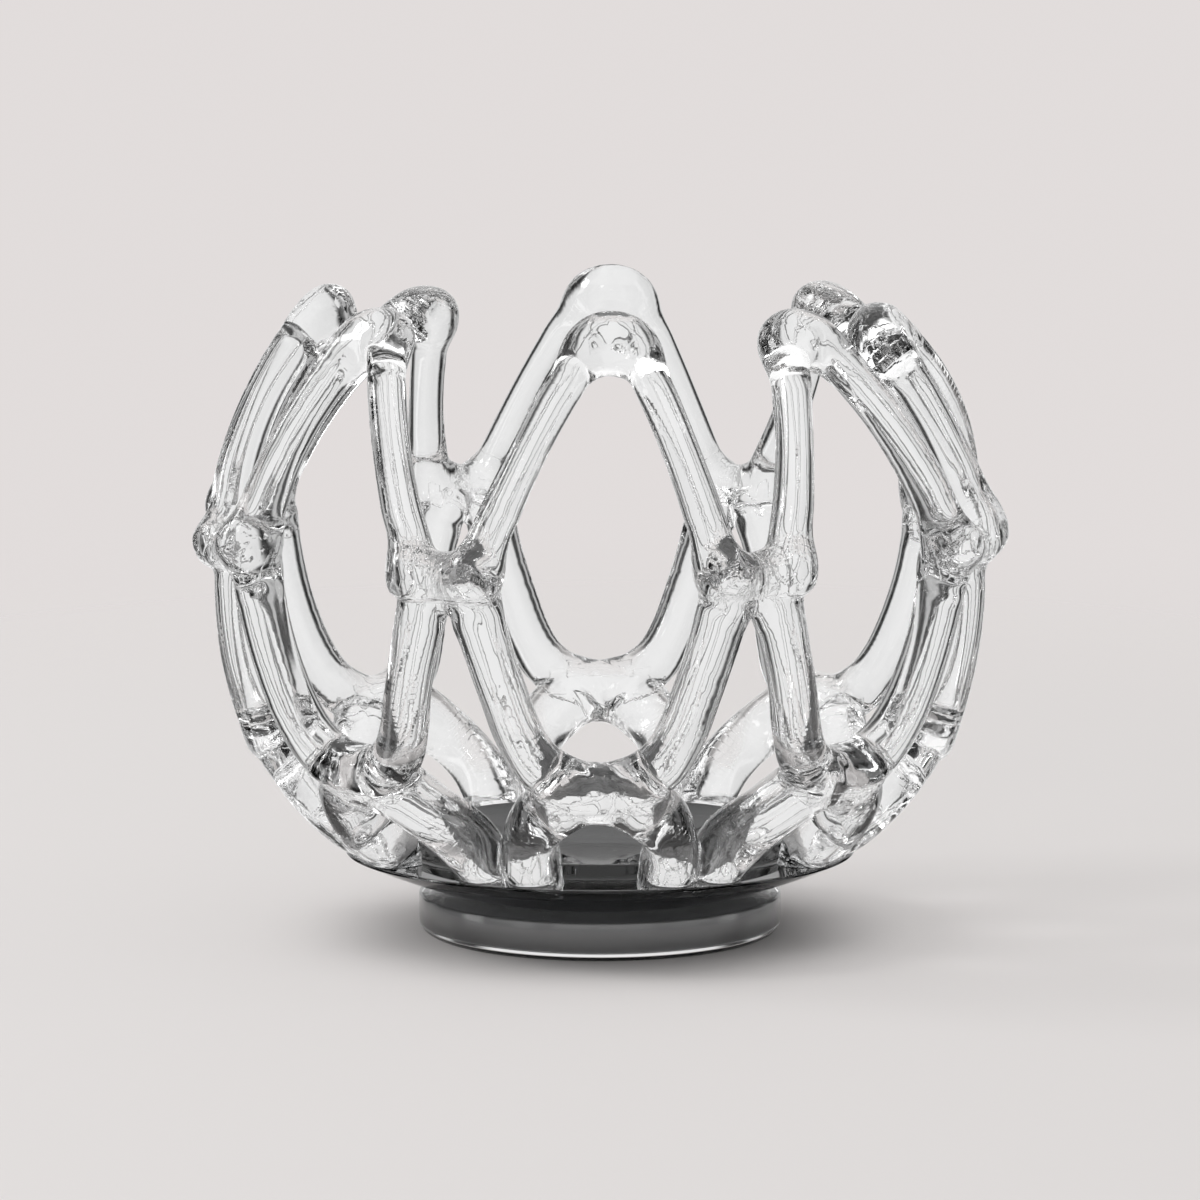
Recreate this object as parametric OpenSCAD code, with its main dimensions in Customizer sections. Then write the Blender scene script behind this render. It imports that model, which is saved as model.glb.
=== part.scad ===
// Lotus candle holder of fused glass: a clear foot, a shallow smoke dish and three rows of bent clear canes.
// The origin is the centre of the foot's underside, +Z is up, and the front petal faces -Y.
// The lower two rows lie on one sphere, the bowl, which the dish's rim just fits in. The petals of the
// top row lie on a second sphere that stands a little proud of it. Each cane is lofted along its bends,
// thicker where the glass gathers, and pressed flat where it is fused to its neighbours.

/* [Foot] */
// Diameter of the clear foot
foot_d = 66.6; // [56:0.2:72]
// Height of the clear foot
foot_h = 7.5; // [5:0.1:12]
// Rounding of the foot's lower edge
foot_edge_r = 2.4; // [1:0.1:3]

/* [Dish] */
// Diameter of the dish over its rim
rim_d = 93.6; // [90:0.2:100]
// Height of the rim above the foot
rim_rise = 8.3; // [6:0.1:10]
// Width of the rim's flat top, which the feet of the canes stand on
rim_w = 9; // [8.6:0.1:12]
// Diameter of the flat that the dish sits on the foot with
seat_d = 48; // [40:0.5:54]
// Thickness of the dish's floor in the middle
dish_floor = 3.1; // [2.2:0.1:4.5]
// Rounding of the rim's outer edge
rim_edge_r = 0.5; // [0.3:0.1:1.2]

/* [Bowl] */
// Diameter of the sphere that the lower two rows of canes touch from inside
bowl_d = 145.4; // [138:0.2:152]
// How far the rim's top stands above the circle where that sphere is as wide as the rim
rim_proud = 2; // [0:0.1:4]
// Height of the upper seam above the centre of that sphere
mid_seam_rise = 1.2; // [0:0.1:4]
// How far the top row's canes stand out past the middle row's at the upper seam
petal_overhang = 1.7; // [0:0.1:3]
// How far the centre of the top row's sphere lies below the centre of the bowl's
petal_drop = 2.9; // [0:0.1:5]

/* [Canes] */
// Thickness of the top row's canes
petal_cane_d = 6.9; // [6:0.1:8]
// Inner radius of the bend at a petal's tip
crown_inner_r = 3.7; // [3:0.1:5]
// Inner radius of the bend between two petals
valley_inner_r = 3.7; // [3:0.1:5]
// Thickness of the middle row's canes
vee_cane_d = 9; // [8:0.1:10]
// Inner radius of the bend at the bottom of the middle row
vee_inner_r = 10.6; // [9:0.1:12]
// Thickness of the bottom row's canes
root_cane_d = 10.6; // [9.6:0.1:11.2]
// Inner radius of the bend at the top of the bottom row
root_inner_r = 4.2; // [3.5:0.1:5]

/* [Hidden] */
// Number of flats round a cane
sides = 12;
// Angle of the middle of a petal's tip above the centre of the top row's sphere
crown_rise = 40.5;
// How far round each petal's tip leans, as a share of the step from one petal to the next
crown_turn_shares = [0.04, -0.04, -0.26, -0.15, -0.04, -0.11, -0.14, -0.085];
// How much higher each petal's tip stands, as a share of the angle above
crown_rise_shares = [0.062, 0.046, 0.022, 0.01, 0.048, -0.037, 0.055, 0.04];
// Height of the lower seam, as a share of the way from the rim to the centre of the bowl's sphere
low_seam_share = 0.374;
// How much of a cane's thickness is left above or below the seam that it is pressed on
press_share = 0.56;
// Distance of a cane's end from the plane where two neighbours meet, as a share of its thickness
side_share = 0.43;
// How much of the glass gathered in a thick place stands out of the bowl instead of on both sides alike,
// for rows of shares that hold no such number of their own
bulge_share = 0.5;

// Shares of the cane's thickness along each stretch of a cane. Each row holds the place along the
// stretch from 0 to 1, the width across the bowl's surface, the depth through it and, where it isn't
// bulge_share, how the gathered glass is shared out: below zero it stands into the bowl.
crown_shares = [[0, 1.74, 1.55, -0.6], [0.26, 1.66, 1.5, -0.6], [0.52, 1.44, 1.38, -0.6],
    [0.78, 1.18, 1.22, -0.6]];
petal_leg_shares = [[0, 1.03, 1.15, -0.6], [0.2, 0.98, 1.1, -0.6], [0.5, 0.97, 1.1, 0], [0.8, 1.03, 1.2]];
valley_shares = [[0, 1.15, 1.3], [0.3, 1.4, 1.6], [0.55, 1.62, 1.78], [0.78, 1.36, 1.6], [1, 1.12, 1.36]];
vee_bend_shares = [[0, 1.06, 1.12], [0.33, 1.05, 1.1], [0.67, 1.02, 1.04]];
vee_leg_shares = [[0, 0.98, 1], [0.3, 0.95, 0.97], [0.6, 0.98, 0.98], [0.85, 1.08, 1.02], [1, 1.16, 1.08]];
root_bend_shares = [[0, 1.1, 0.95], [0.35, 1.13, 0.97], [0.7, 1.15, 0.98]];
root_leg_shares = [[0, 1.12, 0.96], [0.35, 1.06, 0.96]];
// Width and depth of a root's foot a little over the rim, as shares of the cane's thickness
ankle_shares = [1, 1.02];
// Height of that place over the rim, as a share of the cane's thickness, and how its glass leans out
ankle_height_share = 0.3;
ankle_lean = 24;

petals = len(crown_turn_shares);
step = 360 / petals;
// How far a vee's end is carried past the upper seam before it is pressed flat, as a share of its thickness
overrun_share = 0.24;

rim_h = foot_h + rim_rise;
stand_r = rim_d / 2 - rim_edge_r - rim_w / 2;
rim_inner_r = rim_d / 2 - rim_edge_r - rim_w;
floor_h = foot_h + dish_floor;
bowl_r = bowl_d / 2;
bowl_h = rim_h - rim_proud + sqrt(bowl_r * bowl_r - rim_d * rim_d / 4);
low_seam_h = rim_h + low_seam_share * (bowl_h - rim_h);
mid_seam_h = bowl_h + mid_seam_rise;
// The ball whose skin is the dish's underside, from the flat that it sits on out to the rim's edge:
// the height of its centre above the foot, and its radius
belly_deep = rim_rise - rim_edge_r;
belly_rise = ((rim_d * rim_d - seat_d * seat_d) / 4 + belly_deep * belly_deep) / (2 * belly_deep);
belly_r = sqrt(seat_d * seat_d / 4 + belly_rise * belly_rise);
// Radius of the ball that hollows the dish from the rim's inner edge down to the floor
hollow_deep = rim_h - floor_h;
hollow_r = (rim_inner_r * rim_inner_r + hollow_deep * hollow_deep) / (2 * hollow_deep);

// Radius of the sphere that the middles of each row's canes lie on, and the height of its centre
vee_r = bowl_r - vee_cane_d / 2;
root_r = bowl_r - root_cane_d / 2;
petal_r = vee_r + petal_overhang;
petal_h = bowl_h - petal_drop;

$fn = 96;
// Number of flats round the dish's large circles
smooth_fn = 720;

// A direction from a sphere's centre: turn goes round the bowl from the front, rise goes upwards
function direction(turn, rise) = [cos(rise) * sin(turn), -cos(rise) * cos(turn), sin(rise)];

function unit(v) = v / norm(v);

// The angle that a length on a sphere's surface fills, seen from its centre
function arc_angle(length, sphere_r) = length / sphere_r * 180 / PI;

// The rise of a point of a sphere at some height
function rise_at(height, centre_h, sphere_r) = asin((height - centre_h) / sphere_r);

// A direction some share of the way from one direction to another
function between(a, b, share) =
    let (whole = acos(min(1, a * b)))
    whole == 0 ? a : (sin((1 - share) * whole) * a + sin(share * whole) * b) / sin(whole);

// The way to set out from a place to reach a point
function heading(place, point) = unit(point - (place * point) * place);

// A knot is a place that a cane turns about: its direction, and the angle of the bend's radius, which
// is positive where the cane turns left, negative where it turns right and zero at a cane's end.
// The pole is the axis of the straight run from one knot to the next.
function run_pole(from, to) =
    let (a = sin(from[1]), b = sin(to[1]), c = from[0] * to[0], q = 1 - c * c)
    let (x = (a - b * c) / q, y = (b - a * c) / q)
    x * from[0] + y * to[0]
        + sqrt(1 - x * x - y * y - 2 * x * y * c) * cross(from[0], to[0]) / sqrt(q);

// The point where a run with that pole touches the bend of a knot
function touch(knot, pole) = unit(knot[0] - (knot[0] * pole) * pole);

// A ring of points round a cane, given its middle, the way out of the bowl and the way across the cane
function ring(middle, out, across, depth, width) =
    [for (k = [0:sides - 1])
        let (a = 360 * k / sides)
        middle + depth / 2 * cos(a) * out + width / 2 * sin(a) * across];

// A ring at some direction from a sphere's centre, for one row of a table of shares
function ring_at(place, across, sphere_r, cane_d, row) =
    let (share = len(row) > 3 ? row[3] : bulge_share, bulge = share * (row[2] - 1) * cane_d / 2)
    ring((sphere_r + bulge) * place, place, across, row[2] * cane_d, row[1] * cane_d);

// Rings fanned about a knot from one heading to another, over a bend whose inner radius stays the same
function fan(knot, from, to, up_way, inner_r, sphere_r, cane_d, shares) =
    [for (row = shares)
        let (
            head = between(from, to, row[0]),
            away = arc_angle(inner_r + row[1] * cane_d / 2, sphere_r),
            place = cos(away) * knot[0] + sin(away) * head,
            across = up_way * (cos(away) * head - sin(away) * knot[0])
        )
        ring_at(place, across, sphere_r, cane_d, row)];

// Rings along the straight run between two knots
function run(from, to, way, sphere_r, cane_d, shares) =
    let (pole = run_pole(from, to), first = touch(from, pole), last = touch(to, pole))
    [for (row = shares) ring_at(between(first, last, row[0]), way * pole, sphere_r, cane_d, row)];

function backwards(list) = [for (i = [len(list) - 1:-1:0]) list[i]];

function without_first(list) = [for (i = [1:len(list) - 1]) list[i]];

function lifted(rings, height) = [for (r = rings) [for (p = r) p + [0, 0, height]]];

// Glass pressed flat between a lower and an upper height
function pressed(rings, low_h, high_h) =
    [for (r = rings) [for (p = r) [p[0], p[1], min(max(p[2], low_h), high_h)]]];

// Glass pressed flat against the two upright planes where neighbours in a row meet
function squeezed(rings, turn) =
    let (left = [-cos(turn - step / 2), -sin(turn - step / 2), 0])
    let (right = [cos(turn + step / 2), sin(turn + step / 2), 0])
    [for (r = rings) [for (p = r) p - max(0, p * left) * left - max(0, p * right) * right]];

// A closed skin over a chain of rings
module loft(rings) {
    last = len(rings) - 1;
    polyhedron(
        points = [for (r = rings) each r],
        faces = concat(
            [[for (k = [sides - 1:-1:0]) k]],
            [for (i = [0:last - 1], k = [0:sides - 1])
                let (a = i * sides, b = a + sides, next = (k + 1) % sides)
                each [[a + k, b + next, b + k], [a + k, a + next, b + next]]],
            [[for (k = [0:sides - 1]) last * sides + k]]
        ),
        convexity = 6
    );
}

// Clear foot, a flat disc with a rounded lower edge
module foot() {
    color([0.93, 0.95, 0.95, 0.5])
        rotate_extrude()
            union() {
                square([foot_d / 2 - foot_edge_r, foot_h]);
                translate([0, foot_edge_r])
                    square([foot_d / 2, foot_h - foot_edge_r]);
                translate([foot_d / 2 - foot_edge_r, foot_edge_r])
                    circle(r = foot_edge_r);
            }
}

// Half section of the dish: the underside is part of a large ball and the rim's top is flat
module dish_section() {
    difference() {
        intersection() {
            translate([0, foot_h + belly_rise])
                circle(r = belly_r, $fn = smooth_fn);
            translate([0, foot_h])
                square([rim_d / 2, rim_rise]);
        }
        translate([0, floor_h + hollow_r])
            circle(r = hollow_r, $fn = smooth_fn);
        rim_corner_section();
    }
}

// Section of the corner that the rounding takes off the rim
module rim_corner_section() {
    translate([rim_d / 2 - rim_edge_r, rim_h - rim_edge_r])
        difference() {
            square(2 * rim_edge_r);
            circle(r = rim_edge_r);
        }
}

// Smoke dish that the bottom row of canes stands on
module dish() {
    color([0.2, 0.22, 0.23])
        rotate_extrude()
            dish_section();
}

// Half of a root, from the middle of its bend to its foot on the rim
function half_root(turn, way) =
    let (
        bend_w = root_bend_shares[0][1] * root_cane_d,
        top_rise = rise_at(low_seam_h, bowl_h, root_r),
        rise = top_rise - arc_angle(root_inner_r + press_share * bend_w, root_r),
        bend = arc_angle(root_inner_r + root_leg_shares[0][1] * root_cane_d / 2, root_r),
        knot = [direction(turn, rise), -way * bend],
        side = way * (step / 2 - asin(side_share * root_cane_d / stand_r)),
        ankle_rise = rise_at(rim_h + root_cane_d, bowl_h, root_r),
        ankle = [direction(turn + side, ankle_rise), 0],
        pole = run_pole(knot, ankle),
        round = direction(turn + side, 0),
        across = way * [cos(turn + side), sin(turn + side), 0],
        foot_out = direction(turn + side, -ankle_lean),
        up = heading(knot[0], direction(turn, rise + bend))
    )
    concat(
        lifted(fan(knot, up, heading(knot[0], touch(knot, pole)), 1, root_inner_r, root_r,
            root_cane_d, root_bend_shares), bowl_h),
        lifted(run(knot, ankle, way, root_r, root_cane_d, root_leg_shares), bowl_h),
        [ring((stand_r + ankle_height_share * root_cane_d / 2) * round
                + [0, 0, rim_h + ankle_height_share * root_cane_d],
            foot_out, across, ankle_shares[1] * root_cane_d, ankle_shares[0] * root_cane_d),
         ring(stand_r * round + [0, 0, rim_h], round, across, rim_w, root_cane_d)]
    );

// One arch of the bottom row, from the dish up to the lower seam
module root_arch(i) {
    turn = i * step;
    rings = concat(backwards(half_root(turn, -1)), without_first(half_root(turn, 1)));
    color([0.9, 0.93, 0.94, 0.6])
        loft(squeezed(pressed(rings, rim_h, low_seam_h), turn));
}

// Half of a vee, from the middle of its bend to its end at the upper seam
function half_vee(turn, way) =
    let (
        bend_w = vee_bend_shares[0][1] * vee_cane_d,
        low_rise = rise_at(low_seam_h, bowl_h, vee_r),
        rise = low_rise + arc_angle(vee_inner_r + press_share * bend_w, vee_r),
        bend = arc_angle(vee_inner_r + vee_leg_shares[0][1] * vee_cane_d / 2, vee_r),
        knot = [direction(turn, rise), way * bend],
        side = way * (step / 2 - asin(side_share * vee_cane_d / vee_r)),
        end = [direction(turn + side, rise_at(mid_seam_h + overrun_share * vee_cane_d, bowl_h, vee_r)), 0],
        down = heading(knot[0], direction(turn, rise - bend)),
        leaving = heading(knot[0], touch(knot, run_pole(knot, end)))
    )
    concat(
        fan(knot, down, leaving, -1, vee_inner_r, vee_r, vee_cane_d, vee_bend_shares),
        run(knot, end, way, vee_r, vee_cane_d, vee_leg_shares)
    );

// One vee of the middle row, from the lower seam up to the upper one
module middle_vee(i) {
    turn = i * step;
    rings = concat(backwards(half_vee(turn, -1)), without_first(half_vee(turn, 1)));
    color([0.88, 0.92, 0.94, 0.6])
        loft(squeezed(pressed(lifted(rings, bowl_h), low_seam_h, mid_seam_h), turn));
}

// Half of a petal, from the middle of its tip to the middle of the valley beside it
function half_petal(i, way) =
    let (
        turn = (i + crown_turn_shares[i]) * step,
        tip_w = crown_shares[0][1] * petal_cane_d,
        tip_rise = crown_rise * (1 + crown_rise_shares[i]),
        rise = tip_rise - arc_angle(crown_inner_r + tip_w / 2, petal_r),
        tip_bend = arc_angle(crown_inner_r + petal_leg_shares[0][1] * petal_cane_d / 2, petal_r),
        crown = [direction(turn, rise), -way * tip_bend],
        valley_turn = (i + way / 2) * step,
        neck_w = valley_shares[0][1] * petal_cane_d,
        neck_rise = rise_at(mid_seam_h, petal_h, petal_r),
        valley_rise = neck_rise + arc_angle(valley_inner_r + neck_w, petal_r),
        end_w = valley_shares[len(valley_shares) - 1][1] * petal_cane_d,
        valley_bend = arc_angle(valley_inner_r + end_w / 2, petal_r),
        valley = [direction(valley_turn, valley_rise), way * valley_bend],
        pole = run_pole(crown, valley),
        other = [direction((i - way / 2) * step, valley_rise), -way * valley_bend],
        here = heading(crown[0], touch(crown, pole)),
        mirrored = [crown[0], way * tip_bend],
        there = heading(crown[0], touch(mirrored, run_pole(mirrored, other))),
        top = unit(here + there),
        neck = heading(valley[0], direction(valley_turn, valley_rise - valley_bend))
    )
    concat(
        fan(crown, top, here, 1, crown_inner_r, petal_r, petal_cane_d, crown_shares),
        run(crown, valley, way, petal_r, petal_cane_d, petal_leg_shares),
        backwards(fan(valley, neck, heading(valley[0], touch(valley, pole)), -1, valley_inner_r,
            petal_r, petal_cane_d, valley_shares))
    );

// One petal of the top row, from the middle of one valley over its tip to the middle of the next
module petal_arch(i) {
    rings = concat(backwards(half_petal(i, -1)), without_first(half_petal(i, 1)));
    color([0.86, 0.91, 0.94, 0.6])
        loft(pressed(lifted(rings, petal_h), mid_seam_h, mid_seam_h + bowl_d));
}

foot();
dish();
for (i = [0:petals - 1]) {
    root_arch(i);
    middle_vee(i);
    petal_arch(i);
}
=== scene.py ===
# %% [markdown]
# # A lotus candle holder in hot glass
# Three rows of clear glass canes are bent and fused into an open bowl. It stands on a smoke grey
# dish, and the dish stands on a clear foot. This first step loads the plain solids. They fix every
# size, and each piece made below takes the place of one of them.

import math

import bpy
import numpy as np
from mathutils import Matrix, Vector, noise
from mathutils.kdtree import KDTree


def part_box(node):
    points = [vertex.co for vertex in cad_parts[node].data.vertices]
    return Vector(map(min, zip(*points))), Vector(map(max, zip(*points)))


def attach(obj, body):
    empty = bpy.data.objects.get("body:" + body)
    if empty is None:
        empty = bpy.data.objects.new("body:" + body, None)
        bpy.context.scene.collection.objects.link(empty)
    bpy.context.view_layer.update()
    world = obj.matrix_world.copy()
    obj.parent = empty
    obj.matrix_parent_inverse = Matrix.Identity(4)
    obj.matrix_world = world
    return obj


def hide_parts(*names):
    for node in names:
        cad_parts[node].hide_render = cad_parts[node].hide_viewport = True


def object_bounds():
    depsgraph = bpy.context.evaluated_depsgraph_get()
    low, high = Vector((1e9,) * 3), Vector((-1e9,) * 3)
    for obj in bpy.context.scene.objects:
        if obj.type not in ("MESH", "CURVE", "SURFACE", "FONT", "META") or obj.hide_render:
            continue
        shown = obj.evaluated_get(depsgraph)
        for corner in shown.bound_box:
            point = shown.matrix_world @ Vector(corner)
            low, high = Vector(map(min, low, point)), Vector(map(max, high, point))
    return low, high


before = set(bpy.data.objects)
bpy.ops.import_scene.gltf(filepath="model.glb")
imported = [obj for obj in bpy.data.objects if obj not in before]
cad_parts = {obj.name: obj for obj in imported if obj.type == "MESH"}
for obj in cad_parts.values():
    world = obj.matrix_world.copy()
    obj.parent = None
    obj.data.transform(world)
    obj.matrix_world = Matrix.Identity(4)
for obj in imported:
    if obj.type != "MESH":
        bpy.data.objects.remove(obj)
cad_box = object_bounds()
MM = 0.001
cad_size = [round(v / MM, 1) for v in cad_box[1] - cad_box[0]]
print("solids:", len(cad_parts), "box in mm:", cad_size)

# %% [markdown]
# ## The camera
# A product photograph is often taken with a long lens, so the far rim is hardly smaller than the
# near one. The lens is found from how much smaller the far petals look. The camera looks a little
# downwards, which opens the ellipses of the dish and the foot by the right amount. It comes first,
# because every later choice is judged through it.

# %% Set up the camera
picture_px = 1200
mm_per_px = 0.183
lens_px = 6500
sensor_mm = 36
look_down = math.radians(8)
look_at_h = 61.2 * MM
sight_end = 30

camera_far = lens_px * mm_per_px * MM
bpy.ops.object.camera_add(
    location=(0, -camera_far * math.cos(look_down), look_at_h + camera_far * math.sin(look_down)),
    rotation=(math.pi / 2 - look_down, 0, 0),
)
camera = bpy.context.object
camera.name = "picture_camera"
camera.data.sensor_width = sensor_mm
camera.data.lens = sensor_mm * lens_px / picture_px
camera.data.clip_end = sight_end
bpy.context.scene.camera = camera
print("lens in mm:", round(camera.data.lens, 1))

# %% [markdown]
# ## The sizes of the canes
# The glassmaker lays every cane on one imaginary ball, the bowl. So a cane's route is a chain of
# arcs on that ball: bends about knots, and straight runs between them. The numbers below are the
# same as the solids' own, in millimetres, so the glass lands where the solids are. Overall heights
# and widths are read from the solids.

# %% Sizes read from the dish and the foot
dish_low, dish_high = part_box("dish")
foot_low, foot_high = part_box("foot")
rim_d = (dish_high.x - dish_low.x) / MM
rim_h = dish_high.z / MM
foot_d = (foot_high.x - foot_low.x) / MM
foot_h = foot_high.z / MM
foot_edge_r = 2.4
rim_w, rim_edge_r, rim_proud = 9.0, 0.5, 2.0
seat_r = 48.0 / 2
dish_floor = 3.1
stand_r = rim_d / 2 - rim_edge_r - rim_w / 2
rim_inner_r = rim_d / 2 - rim_edge_r - rim_w
floor_h = foot_h + dish_floor
print("rim", round(rim_d, 1), "wide at", round(rim_h, 1), "- foot", round(foot_d, 1), "wide")

# %% Sizes of the bowl
bowl_r = 145.4 / 2
bowl_h = rim_h - rim_proud + math.sqrt(bowl_r**2 - rim_d**2 / 4)
low_seam_share, mid_seam_rise = 0.374, 1.2
low_seam_h = rim_h + low_seam_share * (bowl_h - rim_h)
mid_seam_h = bowl_h + mid_seam_rise
print("seams at", round(low_seam_h, 2), "and", round(mid_seam_h, 2))

# %% Sizes of the canes
petal_cane_d, vee_cane_d, root_cane_d = 6.9, 9.0, 10.6
crown_inner_r, valley_inner_r, vee_inner_r, root_inner_r = 3.7, 3.7, 10.6, 4.2
petal_out, petal_drop = 1.7, 2.9
vee_r = bowl_r - vee_cane_d / 2
root_r = bowl_r - root_cane_d / 2
petal_r = vee_r + petal_out
petal_h = bowl_h - petal_drop
crown_rise = 40.5
crown_turns = [0.04, -0.04, -0.26, -0.15, -0.04, -0.11, -0.14, -0.085]
crown_rises = [0.062, 0.046, 0.022, 0.01, 0.048, -0.037, 0.055, 0.04]
petals = len(crown_turns)
step = 360 / petals
press_share, side_share, bulge_share, overrun_share = 0.56, 0.43, 0.5, 0.24
print("petals:", petals, "one in every", step, "degrees")

# %% [markdown]
# ## Thick and thin along a cane
# Hot glass runs together where it is bent or pressed, so a cane is thicker at the crown of a petal,
# at the bead and at its feet. Each row below holds a place along a stretch from 0 to 1, then the
# width and the depth there, as shares of the cane's own thickness. A fourth number, where there is
# one, says how the extra glass is shared out: below zero it stands into the bowl.

# %% Rows of thickness
crown_rows = [
    [0, 1.74, 1.55, -0.6], [0.26, 1.66, 1.5, -0.6], [0.52, 1.44, 1.38, -0.6],
    [0.78, 1.18, 1.22, -0.6],
]
petal_leg_rows = [
    [0, 1.03, 1.15, -0.6], [0.2, 0.98, 1.1, -0.6], [0.5, 0.97, 1.1, 0], [0.8, 1.03, 1.2],
]
valley_rows = [
    [0, 1.15, 1.3], [0.3, 1.4, 1.6], [0.55, 1.62, 1.78], [0.78, 1.36, 1.6], [1, 1.12, 1.36],
]
vee_bend_rows = [[0, 1.06, 1.12], [0.33, 1.05, 1.1], [0.67, 1.02, 1.04]]
vee_leg_rows = [
    [0, 0.98, 1], [0.3, 0.95, 0.97], [0.6, 0.98, 0.98], [0.85, 1.08, 1.02], [1, 1.16, 1.08],
]
root_bend_rows = [[0, 1.1, 0.95], [0.35, 1.13, 0.97], [0.7, 1.15, 0.98]]
root_leg_rows = [[0, 1.12, 0.96], [0.35, 1.06, 0.96]]
ankle_width, ankle_depth, ankle_height, ankle_lean = 1.0, 1.02, 0.3, 24
print("thickest crown in mm:", round(crown_rows[0][1] * petal_cane_d, 1))


# %% [markdown]
# ## Walking on a ball
# A route on a ball needs only a few helpers. A direction comes from a turn round the bowl and a
# rise above its middle. A run between two bends lies on a circle that only just touches both, and
# the axis of that circle is its pole. This is the same geometry as a belt round two pulleys, drawn
# on a globe.


# %% Directions on the ball
def direction(turn, rise):
    """The way outwards at a turn round the bowl and a rise above its middle, in degrees."""
    t, r = math.radians(turn), math.radians(rise)
    return Vector((math.cos(r) * math.sin(t), -math.cos(r) * math.cos(t), math.sin(r)))


def arc_angle(length, ball_r):
    return math.degrees(length / ball_r)


def rise_at(height, centre_h, ball_r):
    return math.degrees(math.asin((height - centre_h) / ball_r))


def between(a, b, share):
    """A share of the way along the arc from one direction to another."""
    whole = math.acos(min(1, a.dot(b)))
    return (math.sin((1 - share) * whole) * a + math.sin(share * whole) * b) / math.sin(whole)


print("a run of 10 mm fills", round(arc_angle(10, vee_r), 1), "degrees of the ball")


# %% Runs that touch two bends
def heading(place, point):
    """The way to set off from a place on the ball towards a point."""
    return (point - place.dot(point) * place).normalized()


def run_pole(start, end):
    """The axis of the circle that touches two bends, each a direction and a radius in degrees."""
    a, b = math.sin(math.radians(start[1])), math.sin(math.radians(end[1]))
    c = start[0].dot(end[0])
    q = 1 - c * c
    x, y = (a - b * c) / q, (b - a * c) / q
    lift = math.sqrt(1 - x * x - y * y - 2 * x * y * c) / math.sqrt(q)
    return x * start[0] + y * end[0] + lift * start[0].cross(end[0])


def touch(knot, pole):
    """Where the circle round a pole touches the bend about a knot."""
    return (knot[0] - knot[0].dot(pole) * pole).normalized()


pole = run_pole([direction(0, 0), 5], [direction(40, 0), 5])
print("pole of a run past two bends of 5 degrees:", [round(v, 3) for v in pole])


# %% [markdown]
# ## Rings across a cane
# A ring is one slice across the cane: its middle, half its depth and half its width. A fan of rings
# goes round a bend, and a run of rings follows a straight stretch. Only a few rings are needed,
# because a smooth curve is passed through them later.


# %% Rings, fans and runs
def ring(middle, out, across, depth, width):
    return np.array([middle, out * (depth / 2), across * (width / 2)])


def ring_at(place, across, ball_r, cane_d, row):
    """A ring on the ball, as thick as its row says."""
    share = row[3] if len(row) > 3 else bulge_share
    bulge = share * (row[2] - 1) * cane_d / 2
    return ring((ball_r + bulge) * place, place, across, row[2] * cane_d, row[1] * cane_d)


def fan(knot, start, end, up_way, inner_r, ball_r, cane_d, rows):
    rings = []
    for row in rows:
        head = between(start, end, row[0])
        away = math.radians(arc_angle(inner_r + row[1] * cane_d / 2, ball_r))
        place = math.cos(away) * knot[0] + math.sin(away) * head
        across = up_way * (math.cos(away) * head - math.sin(away) * knot[0])
        rings.append(ring_at(place, across, ball_r, cane_d, row))
    return rings


def run(start, end, way, ball_r, cane_d, rows):
    pole = run_pole(start, end)
    first, last = touch(start, pole), touch(end, pole)
    return [
        ring_at(between(first, last, row[0]), way * pole, ball_r, cane_d, row) for row in rows
    ]


def lifted(rings, height):
    return [r + np.array([[0, 0, height], [0, 0, 0], [0, 0, 0]]) for r in rings]


sample = ring_at(direction(0, 0), direction(90, 0), vee_r, vee_cane_d, [0, 1, 1])
print("one ring holds", sample.shape)


# %% [markdown]
# ## The three kinds of cane
# A root is an arch that stands on the dish. A vee hangs between two beads and rests on a root. A
# petal rises from one bead, turns at its crown and comes down to the next. Each half is drawn from
# the middle of its bend outwards, and the two halves are joined.

# %% The half of a root
root_sunk = 1.2


def half_root(turn, way):
    bend_w = root_bend_rows[0][1] * root_cane_d
    top_rise = rise_at(low_seam_h, bowl_h, root_r)
    rise = top_rise - arc_angle(root_inner_r + press_share * bend_w, root_r)
    bend = arc_angle(root_inner_r + root_leg_rows[0][1] * root_cane_d / 2, root_r)
    knot = [direction(turn, rise), -way * bend]
    side = way * (step / 2 - math.degrees(math.asin(side_share * root_cane_d / stand_r)))
    ankle = [direction(turn + side, rise_at(rim_h + root_cane_d, bowl_h, root_r)), 0]
    leaving = heading(knot[0], touch(knot, run_pole(knot, ankle)))
    up = heading(knot[0], direction(turn, rise + bend))
    bent = fan(knot, up, leaving, 1, root_inner_r, root_r, root_cane_d, root_bend_rows)
    straight = run(knot, ankle, way, root_r, root_cane_d, root_leg_rows)
    out = direction(turn + side, 0)
    across = way * direction(turn + side + 90, 0)
    ankle_place = (stand_r + ankle_height * root_cane_d / 2) * out
    ankle_place.z = rim_h + ankle_height * root_cane_d
    ankle_out = direction(turn + side, -ankle_lean)
    depth, width = ankle_depth * root_cane_d, ankle_width * root_cane_d
    standing = [ring(ankle_place, ankle_out, across, depth, width)]
    for below in (0, root_sunk):
        place = stand_r * out
        place.z = rim_h - below
        standing.append(ring(place, out, across, rim_w, root_cane_d))
    return lifted(bent + straight, bowl_h) + standing


print("rings in half a root:", len(half_root(0, 1)))


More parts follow.
